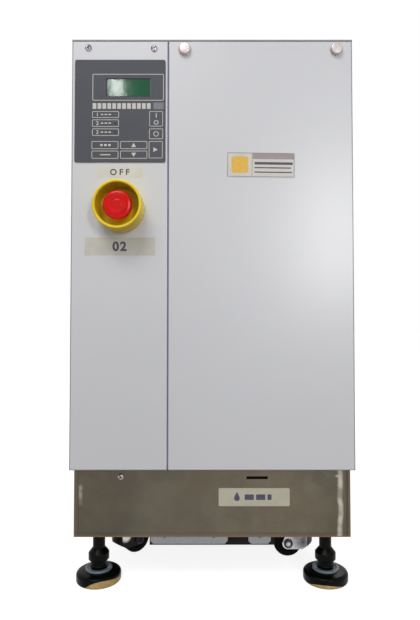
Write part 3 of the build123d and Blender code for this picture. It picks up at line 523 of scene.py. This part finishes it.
def frame_data(x0, z0, x1, z1, width, y, radius=1.4, thickness=INK):
    """The outline of a rounded rectangle as a printed line."""
    outer = outline_rect(x0, z0, x1, z1, radius)
    inner = outline_rect(x0 + width, z0 + width, x1 - width, z1 - width, max(radius - width, 0.2))
    return ring_data(outer, inner, y, thickness)


def text_data(body, size, centre, y, spacing=1.0, bold=0.0):
    """Letters of the built-in typeface as a mesh that faces -Y; centre is (x, z) in mm."""
    curve = bpy.data.curves.new("letters", "FONT")
    curve.body = body
    curve.size = size * MM
    curve.space_character = spacing
    curve.offset = bold * MM
    curve.extrude = INK * MM / 2
    curve.align_x = "CENTER"
    curve.align_y = "CENTER"
    obj = bpy.data.objects.new("letters", curve)
    bpy.context.scene.collection.objects.link(obj)
    bpy.context.view_layer.update()
    mesh = bpy.data.meshes.new_from_object(obj.evaluated_get(bpy.context.evaluated_depsgraph_get()))
    xs = [v.co.x for v in mesh.vertices]
    zs = [v.co.y for v in mesh.vertices]
    shift_x = centre[0] * MM - (min(xs) + max(xs)) / 2
    shift_z = centre[1] * MM - (min(zs) + max(zs)) / 2
    verts = [(v.co.x + shift_x, y - v.co.z - INK * MM / 2, v.co.y + shift_z) for v in mesh.vertices]
    faces = [tuple(p.vertices) for p in mesh.polygons]
    bpy.data.objects.remove(obj)
    bpy.data.curves.remove(curve)
    bpy.data.meshes.remove(mesh)
    return verts, faces


def tilted(data, pivot, degrees):
    """Turns data on the front about pivot (x, z) in mm."""
    c, s = math.cos(math.radians(degrees)), math.sin(math.radians(degrees))
    px, pz = pivot[0] * MM, pivot[1] * MM
    verts = []
    for x, y, z in data[0]:
        dx, dz = x - px, z - pz
        verts.append((px + dx * c - dz * s, y, pz + dx * s + dz * c))
    return verts, data[1]


# Materials of the CAD nodes that stay

def assign(material, *names):
    for name in names:
        mesh = nodes[name].data
        mesh.materials.clear()
        mesh.materials.append(material)
        for polygon in mesh.polygons:
            polygon.material_index = 0


assign(PAINT, "front_left_panel", "front_right_panel")
assign(SIDE_PAINT, "left_side_panel", "right_side_panel", "rear_panel")
assign(TOP_PAINT, "top_cover")
assign(DARK_HOUSING, "machine_housing")
assign(STAINLESS, "base_front_cover")
assign(STAINLESS_PLAIN, "base_left_skirt", "base_right_skirt", "base_rear_skirt", "port_plate")
assign(FRAME_PAINT, "base_pan", "left_rail", "right_rail", "front_cross_rail")
assign(ZINC, "cross_rail_plates")
assign(OVERLAY, "control_overlay")
assign(DISPLAY, "display_window")
assign(COLLAR_BLACK, "button_collar")
assign(RED, "button_stem")
assign(NICKEL, "circulation_ports", "facility_ports", "drain_plug")
assign(BLACK_PLASTIC, "power_inlet", "filler_cap")
assign(ZINC, "signal_connectors")
for corner in CORNERS:
    assign(FORK_ZINC_LIT, f"{corner}_caster_fork")
    assign(ZINC, f"{corner}_caster_plate")

# Edges of the film: painted shade all round, and a painted highlight on the bevel on the right of the window
film = nodes["control_overlay"].data
film.materials.append(OVERLAY_EDGE_SHADE)
film.materials.append(PRINT_GREY)
for polygon in film.polygons:
    if polygon.normal.y > -0.95:
        bevel = abs(polygon.normal.y) > 0.3
        polygon.material_index = 2 if bevel and polygon.normal.x < -0.3 else 1

# Front lip of the top cover: a narrow strip in shade
top = nodes["top_cover"].data
top.materials.append(LIP)
for polygon in top.polygons:
    if polygon.normal.y < -0.9 and polygon.center.y < FRONT + 2 * MM:
        polygon.material_index = 1

# Feet: profiles of (radius, height, rounding) in mm from the floor up
PAD_PROFILE = [(0, 0), (31.0, 0, 3.4), (31.0, 12.6, 4.2), (27.5, 14.4, 3.0), (18.2, 16.0), (0, 16.0)]
RING_PROFILE = [
    (10.0, 16.0), (18.4, 15.6, 0.4), (18.4, 18.5, 1.2), (16.2, 18.5, 0.8), (13.5, 17.4), (10.0, 17.4),
]
NECK_PROFILE = [
    (11.4, 16.5), (11.4, 20.4, 0.8), (11.9, 21.0, 0.5), (11.4, 21.8, 0.5), (11.4, 28.4, 0.6),
    (14.3, 29.6, 1.0), (14.3, 38.7, 1.6), (9.0, 45.3, 1.0), (8.4, 45.3), (8.4, 64.5), (0, 64.5),
]
NUT_PROFILE = [(0, 63.5), (12.6, 63.5), (13.8, 64.4), (13.8, 70.6), (12.6, 71.5), (0, 71.5)]
THREAD_CREST, THREAD_ROOT = 8.1, 7.4
THREAD_LOW, THREAD_STEP, THREAD_TURNS = 71.6, 0.85, 14

thread = [(7.9, 71.5)]
for k in range(THREAD_TURNS):
    thread.append((THREAD_CREST, THREAD_LOW + k * THREAD_STEP))
    thread.append((THREAD_ROOT, THREAD_LOW + 0.4 + k * THREAD_STEP))
thread += [(THREAD_ROOT, 83.5), (0, 83.5)]

for corner in CORNERS:
    low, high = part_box(f"{corner}_foot")
    centre = ((low.x + high.x) / 2, (low.y + high.y) / 2, 0)
    parts = (
        lathe_data(rounded(PAD_PROFILE), ORIGIN, UP),
        lathe_data(rounded(RING_PROFILE), ORIGIN, UP),
        lathe_data(rounded(NECK_PROFILE), ORIGIN, UP),
        lathe_data(NUT_PROFILE, ORIGIN, UP, 6),
        lathe_data(thread, ORIGIN, UP, 48),
    )
    indices = [i for i, (_, f) in zip((0, 1, 2, 2, 2), parts) for _ in f]
    pad_material = PAD_LEFT if corner.endswith("left") else PAD_RIGHT
    foot = piece(
        f"{corner}_foot_shape",
        *join_data(parts),
        None,
        angle=40,
        slot="foot_black",
        materials=[pad_material, FOOT_RING, FOOT_BLACK],
        indices=indices,
    )
    # The pad's material works from the foot's own origin, so the mesh is moved as a whole
    foot.parent = None
    foot.matrix_world = Matrix.Translation(centre)
    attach(foot, "chiller")
    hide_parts(f"{corner}_foot")

# Casters: the tyre is 1.5 mm larger in radius than the solid's, as in the photograph
WHEEL_RADIUS = 21.5
WHEEL_PROFILE = [
    (3.2, -9.4), (8.0, -9.4, 0.6), (8.0, -6.5), (13.5, -6.5), (13.5, -8.4, 0.5), (WHEEL_RADIUS, -8.4, 2.8),
    (WHEEL_RADIUS, 8.4, 2.8), (13.5, 8.4, 0.5), (13.5, 6.5), (8.0, 6.5), (8.0, 9.4, 0.6), (3.2, 9.4),
    (3.2, -9.4),
]
CHEEK_OUT = 13.0
AXLE_SIDE = [(6.6, -0.4), (6.6, 3.0, 0.4), (3.9, 3.9)]
AXLE_TOP = [(3.9, 3.9), (2.4, 3.9), (1.9, 2.9), (0, 2.9)]
# Place of the painted highlight on the front left fork's cheek
HIGHLIGHT_SPOT = Vector((-0.1295, FRONT + 0.108, 0.033))
WHEEL_BODY = {"front_left": "left_caster_wheel", "front_right": "right_caster_wheel"}
SWIVEL_BODY = {"front_left": "left_caster_swivel", "front_right": "right_caster_swivel"}


def dress_fork(corner, centre, axle, body):
    """Cheeks in painted light, web and crown in painted shade, the front left fork in deep painted shade
    with one painted highlight, and a round head on each end of the axle, its side a painted shade ring.
    """
    fork = nodes[f"{corner}_caster_fork"]
    # The front left fork and its axle heads are painted in deep shade
    in_deep_shade = corner == "front_left"
    fork.data.materials.append(FORK_DEEP_SHADE if in_deep_shade else FORK_SHADE)
    turn = fork.matrix_world.to_3x3()
    for polygon in fork.data.polygons:
        cheek = abs((turn @ polygon.normal).dot(axle)) > 0.97
        polygon.material_index = 0 if cheek else 1
    if in_deep_shade:
        fork.data.materials[0] = shaded_zinc_with_highlight(fork.matrix_world.inverted() @ HIGHLIGHT_SPOT)
    for end, out in (("near", axle), ("far", -axle)):
        place = centre + out * CHEEK_OUT * MM
        side = lathe_data(rounded(AXLE_SIDE), place, out, 32)
        face = lathe_data(AXLE_TOP, place, out, 32)
        piece(
            f"{corner}_axle_{end}",
            *join_data((side, face)),
            None,
            body,
            slot="zinc",
            materials=[RIVET_RING, FORK_DEEP_SHADE if in_deep_shade else AXLE_FACE],
            indices=[0] * len(side[1]) + [1] * len(face[1]),
        )


for corner in CORNERS:
    low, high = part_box(f"{corner}_caster_wheel")
    centre = (low + high) / 2
    plate_low, plate_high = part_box(f"{corner}_caster_plate")
    trail = centre - (plate_low + plate_high) / 2
    axle = Vector((-trail.y, trail.x, 0)).normalized()
    dress_fork(corner, centre, axle, SWIVEL_BODY.get(corner, "chiller"))
    body = WHEEL_BODY.get(corner, "chiller")
    wheel = lathe(f"{corner}_tyre", rounded(WHEEL_PROFILE), centre, axle, TYRE, body, slot="tyre_black")
    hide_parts(f"{corner}_caster_wheel")

# Emergency-off button: profiles of (radius, height above the panel, rounding) in mm
low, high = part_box("guard_ring")
BUTTON_X, BUTTON_Z = (low.x + high.x) / 2, (low.z + high.z) / 2
BUTTON = (BUTTON_X, FRONT, BUTTON_Z)
GUARD_PROFILE = [
    (6.2, 0), (32.0, 0), (32.0, 35.0, 1.6), (28.2, 35.0, 1.3), (27.8, 3.0, 1.5), (6.2, 3.0), (6.2, 0),
]
HEAD_PROFILE = [
    (0, 28.0), (6.05, 28.0), (6.05, 22.0), (17.8, 22.0, 0.8), (19.0, 24.0, 1.0), (19.0, 31.8, 3.2),
    (14.6, 32.6), (14.1, 32.1, 0.3), (13.2, 32.1, 0.3), (12.8, 32.8), (7.4, 32.6, 0.4), (7.0, 32.2, 0.2),
    (6.6, 32.6, 0.3), (5.6, 33.0, 0.5), (0, 33.0),
]
guard = lathe("guard_shape", rounded(GUARD_PROFILE), BUTTON, OUT, GUARD, segments=128, slot="guard_yellow")
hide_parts("guard_ring")
head = lathe(
    "button_head_shape", rounded(HEAD_PROFILE, 4), BUTTON, OUT, RED, "emergency_button_head", 128,
    slot="button_red",
)
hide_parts("button_head")

# Three raised arrows that show which way the head is turned to release it
ARROW_START, ARROW_SWEEP, ARROW_TIP = math.radians(20), math.radians(62), math.radians(16)
ARROW_INNER, ARROW_OUTER = 9.9, 11.2
BARB_INNER, BARB_MIDDLE, BARB_OUTER = 8.9, 10.55, 12.2
ARROW_Y, ARROW_RISE, ARROW_STEPS = FRONT - 32.6 * MM, 0.35, 12


def on_head(radius, angle):
    return (BUTTON_X / MM + radius * math.cos(angle), BUTTON_Z / MM + radius * math.sin(angle))


arrows = []
for k in range(3):
    start = 2 * math.pi * k / 3 + ARROW_START
    end = start + ARROW_SWEEP
    sweep = [start + ARROW_SWEEP * i / ARROW_STEPS for i in range(ARROW_STEPS + 1)]
    outer = [on_head(ARROW_OUTER, a) for a in sweep]
    inner = [on_head(ARROW_INNER, a) for a in sweep]
    arrows.append(slab_data(outer + inner[::-1], ARROW_Y, ARROW_RISE))
    barb = [on_head(BARB_OUTER, end), on_head(BARB_MIDDLE, end + ARROW_TIP), on_head(BARB_INNER, end)]
    arrows.append(slab_data(barb, ARROW_Y, ARROW_RISE))
piece("button_arrows", *join_data(arrows), RED, "emergency_button_head", slot="button_red")

# Thumbscrews: knurled knobs, lower than their solids
KNOB_PROFILE = [
    (0, -2), (7.4, -2), (7.4, 0.0), (8.2, 0.9, 0.5), (8.3, 1.4), (8.3, 4.2), (7.4, 5.6, 0.9),
    (6.2, 6.2, 0.8), (0, 6.4),
]
KNURL_DEPTH, KNURL_COUNT = 0.13, 18


def knurl(a, r, h):
    depth = KNURL_DEPTH if r > 7 and 1.0 < h < 5.0 else 0.0
    return 1 - depth * (0.5 - 0.5 * math.cos(a * KNURL_COUNT))


for side in ("left", "right"):
    low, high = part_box(f"{side}_thumbscrew")
    centre = ((low.x + high.x) / 2, FRONT, (low.z + high.z) / 2)
    knob = lathe(
        f"{side}_thumbscrew_shape", rounded(KNOB_PROFILE), centre, OUT, KNOB, segments=144, squash=knurl,
        slot="chrome",
    )
    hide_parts(f"{side}_thumbscrew")


# Screws with pan heads, their cross recesses drawn as painted shade

def pan_head(place, out, radius, height):
    edge = (radius, height * 0.55, height * 0.4)
    path = rounded([(0, 0), (radius, 0), edge, (radius * 0.55, height, 1.2), (0, height)])
    return lathe_data(path, place, out, 32)


def recess_shade_bars(place, out, radius, height):
    """The cross recess as painted shade: two thin dark bars just proud of the head."""
    out = Vector(out)
    up = Vector(UP)
    across = out.cross(up)
    turn = math.radians(35)
    a = up * math.cos(turn) + across * math.sin(turn)
    b = out.cross(a)
    middle = Vector(place) + out * (height + 0.04) * MM
    long, thin = radius * 0.55 * MM, radius * 0.12 * MM
    corners = ((-1, -1), (1, -1), (1, 1), (-1, 1))
    return [([middle + u * sx * long + v * sy * thin for sx, sy in corners], [(0, 1, 2, 3)])
            for u, v in ((a, b), (b, a))]


def screws(name, places, out, radius=4.4, height=2.6, material=SCREW):
    heads = [pan_head(p, out, radius, height) for p in places]
    piece(name, *join_data(heads), material, angle=50, slot="chrome")
    # The recesses are painted shade: dark bars, not hollows
    marks = [m for p in places for m in recess_shade_bars(p, out, radius, height)]
    piece(name + "_recess_shade", *join_data(marks), COLLAR_BLACK, slot="chrome")


side_spots = [(y, z) for y in (FRONT + 0.06, 0.0, REAR - 0.04) for z in (0.19, 0.70)]
rear_spots = [(x, z) for x in (-0.160, 0.160) for z in (0.372, 0.54, 0.71)]
rear_spots += [(x, z) for x in (-0.166, 0.166) for z in (0.178, 0.338)]
screws("left_panel_screws", [(-0.1679, FRONT, 0.7315), (-0.0787, FRONT, 0.7309)], OUT)
screws("base_cover_screw", [(-0.1242, COVER_FRONT, 0.1496)], OUT, 4.2, 2.4, SCREW_DULL)
screws("left_side_screws", [(LEFT, y, z) for y, z in side_spots], (-1, 0, 0))
screws("right_side_screws", [(RIGHT, y, z) for y, z in side_spots], (1, 0, 0))
screws("rear_screws", [(x, REAR, z) for x, z in rear_spots], (0, 1, 0))

# Purple-grey strip in the joint between the two front panels, painted shade of the gap
seam_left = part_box("front_left_panel")[1].x / MM
seam_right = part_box("front_right_panel")[0].x / MM
strip = outline_rect(seam_left, 164.5, seam_right, 740.0, 0.2)
piece("panel_joint_shade", *slab_data(strip, FRONT + 1.6 * MM, 1.0), JOINT_SHADE, slot="housing")

# Print on the control panel: frames as (x0, z0, x1, z1), and heights of the three indicator rows
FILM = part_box("control_overlay")[0].y
LINE = 0.75
FRAMES = [
    (-162.0, 635.2, -125.9, 644.2),
    (-162.0, 622.9, -125.9, 632.8),
    (-162.0, 610.7, -125.9, 620.5),
    (-84.8, 623.4, -66.5, 644.2),
    (-85.1, 606.2, -66.4, 620.5),
    (-162.5, 592.7, -126.5, 603.3),
    (-162.5, 579.6, -126.5, 590.3),
    (-123.9, 592.7, -87.6, 603.3),
    (-123.9, 579.6, -87.6, 590.3),
    (-85.4, 580.1, -66.8, 603.3),
]
ROWS = (639.7, 627.9, 615.6)

lines = [frame_data(-161.8, 658.7, -65.5, 695.2, 0.85, FILM, 2.0)]
lines += [frame_data(*box, LINE, FILM) for box in FRAMES]
piece("overlay_frames", *join_data(lines), PRINT, slot="overlay")


def bar(x0, z0, x1, z1, radius):
    """A printed bar on the film."""
    return slab_data(outline_rect(x0, z0, x1, z1, radius), FILM, INK)


signs = [
    slab_data([(-109.2, 595.4), (-102.6, 595.4), (-105.9, 600.9)], FILM, INK),
    slab_data([(-109.1, 587.6), (-105.8, 582.1), (-102.5, 587.6)], FILM, INK),
    slab_data([(-79.3, 588.6), (-73.4, 591.8), (-79.3, 595.0)], FILM, INK),
]
for number, z in zip("123", ROWS):
    signs.append(text_data(number, 7.2, (-155.0, z), FILM, bold=0.12))
    signs += [bar(x, z - 0.8, x + 3.6, z + 0.8, 0.3) for x in (-150.5, -145.3, -140.1)]
signs.append(text_data("I", 8.4, (-75.6, 638.6), FILM, bold=0.2))
signs.append(text_data("O", 8.4, (-75.6, 629.0), FILM, bold=0.15))
signs.append(ring_data(circle(-75.7, 613.3, 3.6, 24), circle(-75.7, 613.3, 2.7, 24), FILM, INK))
signs += [bar(x, 596.6, x + 3.4, 599.4, 0.3) for x in (-151.0, -145.6, -140.2)]
signs.append(bar(-151.0, 584.2, -137.0, 585.6, 0.3))
for k in range(12):
    x = -161.5 + 6.66 * k
    signs.append(bar(x, 647.4, x + 5.0, 655.2, 0.5))
piece("overlay_signs", *join_data(signs), PRINT, slot="overlay")
square = outline_rect(-79.4, 646.9, -65.5, 656.0, 0.8)
piece("overlay_square", *slab_data(square, FILM, 0.06), PRINT_GREY, slot="overlay")
lenses = [slab_data(outline_rect(-132.6, z - 1.8, -129.0, z + 1.8, 1.7), FILM, 0.1) for z in ROWS]
piece("indicator_lenses", *join_data(lenses), LED_DARK, slot="overlay")

# Labels above and below the button: thickness in mm
TAPE = 0.15
upper = slab_data(outline_rect(-154.9, 554.5, -93.4, 568.6, 0.6), FRONT, TAPE)
piece("upper_label", *upper, LABEL, slot="panel_paint")
upper_text = text_data("OFF", 11.4, (-124.6, 561.6), FRONT - TAPE * MM, spacing=1.55, bold=0.28)
piece("upper_label_print", *upper_text, LABEL_INK, slot="panel_paint")
lower = slab_data(outline_rect(-171.3, 448.9, -76.9, 473.1, 0.6), FRONT, TAPE)
piece("lower_label", *lower, LABEL_AGED, slot="panel_paint")
lower_text = text_data("02", 17.0, (-124.4, 461.2), FRONT - TAPE * MM, spacing=1.2, bold=0.65)
piece("lower_label_print", *lower_text, LABEL_INK, slot="panel_paint")

# Label on the base: a drop and three bars
BASE_LABEL = 0.4
DROP_X, DROP_Z, DROP_RADIUS, DROP_STRETCH, DROP_POINTS = 33.5, 121.0, 3.9, 2.1, 28
base_label = slab_data(outline_rect(8.7, 110.2, 105.1, 134.4, 1.6), COVER_FRONT, BASE_LABEL)
piece("base_label", *base_label, LABEL_DULL, slot="stainless")
drop = []
for k in range(DROP_POINTS):
    a = 2 * math.pi * k / DROP_POINTS
    x, z = DROP_RADIUS * math.sin(a), DROP_RADIUS * math.cos(a)
    if z > 0:
        x, z = x * (1 - z / DROP_RADIUS) ** 0.5, z * DROP_STRETCH
    drop.append((DROP_X + x, DROP_Z + z))
label_face = COVER_FRONT - BASE_LABEL * MM
marks = [slab_data(drop, label_face, 0.1)]
for x0, x1 in ((44.0, 56.5), (59.5, 72.0), (75.0, 80.5)):
    marks.append(slab_data(outline_rect(x0, 118.6, x1, 126.0, 0.8), label_face, 0.1))
piece("base_label_print", *join_data(marks), LABEL_INK, slot="stainless")

# Neutral placard on the wide panel, a little askew
PIVOT, TILT = (65.6, 571.4), -0.8
PLACARD_THICKNESS, PLACARD_INK = 0.25, 0.05
PLACARD_FACE = FRONT - PLACARD_THICKNESS * MM


def placard_mark(x0, z0, x1, z1, radius):
    return slab_data(outline_rect(x0, z0, x1, z1, radius), PLACARD_FACE, PLACARD_INK)


def placard_piece(name, data, material):
    piece(name, *tilted(data, PIVOT, TILT), material, slot="panel_paint")


plate = slab_data(outline_rect(19.6, 554.2, 111.6, 588.6, 0.8), FRONT, PLACARD_THICKNESS)
placard_piece("placard", plate, PLACARD)
rim = [
    frame_data(20.6, 555.2, 110.6, 587.6, 0.5, PLACARD_FACE, 0.6, PLACARD_INK),
    placard_mark(53.6, 555.4, 54.0, 587.4, 0.1),
]
for z, x1, half in ((573.6, 108.5, 1.7), (567.6, 106.0, 0.8), (561.6, 107.5, 0.8)):
    rim.append(placard_mark(57.0, z - half, x1, z + half, 0.3))
placard_piece("placard_print", join_data(rim), LABEL_INK)
placard_piece("placard_square", placard_mark(26.0, 560.2, 48.4, 582.6, 3.0), AMBER)
placard_piece("placard_band", placard_mark(54.6, 579.4, 110.0, 587.0, 0.3), BAND)


# Floor, light and camera

FLOOR_HALF = 30.0
FLOOR_TONE = (0.4, 0.4, 0.4, 1)
FLOOR_GLOW = 0.86
AMBIENT_COLOR, AMBIENT_STRENGTH = (0.97, 0.98, 1.0, 1), 0.41
WHITE = (1, 1, 1, 1)


def seen_ray(tree):
    """1 for rays that come from the camera, off gloss or through glass, and 0 for the rest."""
    path = tree.nodes.new("ShaderNodeLightPath")
    result = path.outputs["Is Camera Ray"]
    for name in ("Is Glossy Ray", "Is Transmission Ray"):
        either = tree.nodes.new("ShaderNodeMath")
        either.operation = "MAXIMUM"
        tree.links.new(result, either.inputs[0])
        tree.links.new(path.outputs[name], either.inputs[1])
        result = either.outputs[0]
    return result


def build_floor():
    """A plain floor that looks white and takes a soft shadow."""
    mesh = bpy.data.meshes.new("floor")
    s = FLOOR_HALF
    mesh.from_pydata([(-s, -s, 0), (s, -s, 0), (s, s, 0), (-s, s, 0)], [], [(0, 1, 2, 3)])
    floor = bpy.data.objects.new("floor", mesh)
    bpy.context.scene.collection.objects.link(floor)
    material = bpy.data.materials.new("floor_white")
    material.use_nodes = True
    tree = material.node_tree
    tree.nodes.clear()
    output = tree.nodes.new("ShaderNodeOutputMaterial")
    diffuse = tree.nodes.new("ShaderNodeBsdfDiffuse")
    diffuse.inputs["Color"].default_value = FLOOR_TONE
    glow = tree.nodes.new("ShaderNodeEmission")
    level = tree.nodes.new("ShaderNodeMath")
    level.operation = "MULTIPLY"
    level.inputs[1].default_value = FLOOR_GLOW
    tree.links.new(seen_ray(tree), level.inputs[0])
    tree.links.new(level.outputs[0], glow.inputs["Strength"])
    both = tree.nodes.new("ShaderNodeAddShader")
    tree.links.new(diffuse.outputs[0], both.inputs[0])
    tree.links.new(glow.outputs[0], both.inputs[1])
    tree.links.new(both.outputs[0], output.inputs["Surface"])
    mesh.materials.append(material)


def background(tree, color, strength):
    node = tree.nodes.new("ShaderNodeBackground")
    node.inputs["Color"].default_value = color
    node.inputs["Strength"].default_value = strength
    return node


def build_world():
    """Pale even light, with a white background where it is seen."""
    world = bpy.data.worlds.new("studio")
    bpy.context.scene.world = world
    world.use_nodes = True
    tree = world.node_tree
    tree.nodes.clear()
    output = tree.nodes.new("ShaderNodeOutputWorld")
    light = background(tree, AMBIENT_COLOR, AMBIENT_STRENGTH)
    white = background(tree, WHITE, 1.0)
    mix = tree.nodes.new("ShaderNodeMixShader")
    tree.links.new(seen_ray(tree), mix.inputs["Fac"])
    tree.links.new(light.outputs[0], mix.inputs[1])
    tree.links.new(white.outputs[0], mix.inputs[2])
    tree.links.new(mix.outputs[0], output.inputs["Surface"])


def area(name, place, target, size, power):
    """A rectangular lamp: place, target and size in metres, power in watts."""
    data = bpy.data.lights.new(name, "AREA")
    data.shape = "RECTANGLE"
    data.size, data.size_y = size
    data.energy = power
    lamp = bpy.data.objects.new(name, data)
    lamp.location = place
    lamp.rotation_euler = (Vector(target) - Vector(place)).to_track_quat("-Z", "Y").to_euler()
    bpy.context.scene.collection.objects.link(lamp)


build_floor()
build_world()
area("key", (-0.7, -2.3, 2.8), (0.0, -0.3, 0.6), (1.6, 1.2), 42)
area("glow", (0.69, -2.43, 0.86), (0.15, -0.33, 0.5), (0.3, 0.7), 12)
area("glint", (-0.51, -2.43, 1.65), (-0.12, -0.33, 0.67), (0.075, 0.09), 1)
area("back", (0.6, 2.4, 2.2), (0.0, 0.2, 0.4), (1.6, 1.2), 30)

# Camera fitted to the photograph: focal length and height of the picture in pixels
FOCAL_PIXELS, PICTURE_PIXELS = 523.0, 620.0
SENSOR_MM = 36.0
CAMERA_PLACE = (-0.0035, FRONT - 0.6988, 0.3544)
CAMERA_TILT, CAMERA_TURN = 1.75, -0.04

camera_data = bpy.data.cameras.new("camera")
camera_data.sensor_width = SENSOR_MM
camera_data.lens = SENSOR_MM * FOCAL_PIXELS / PICTURE_PIXELS
camera = bpy.data.objects.new("camera", camera_data)
camera.location = CAMERA_PLACE
camera.rotation_euler = (math.radians(90 + CAMERA_TILT), 0.0, math.radians(CAMERA_TURN))
bpy.context.scene.collection.objects.link(camera)
bpy.context.scene.camera = camera
bpy.context.scene.view_settings.view_transform = "Standard"
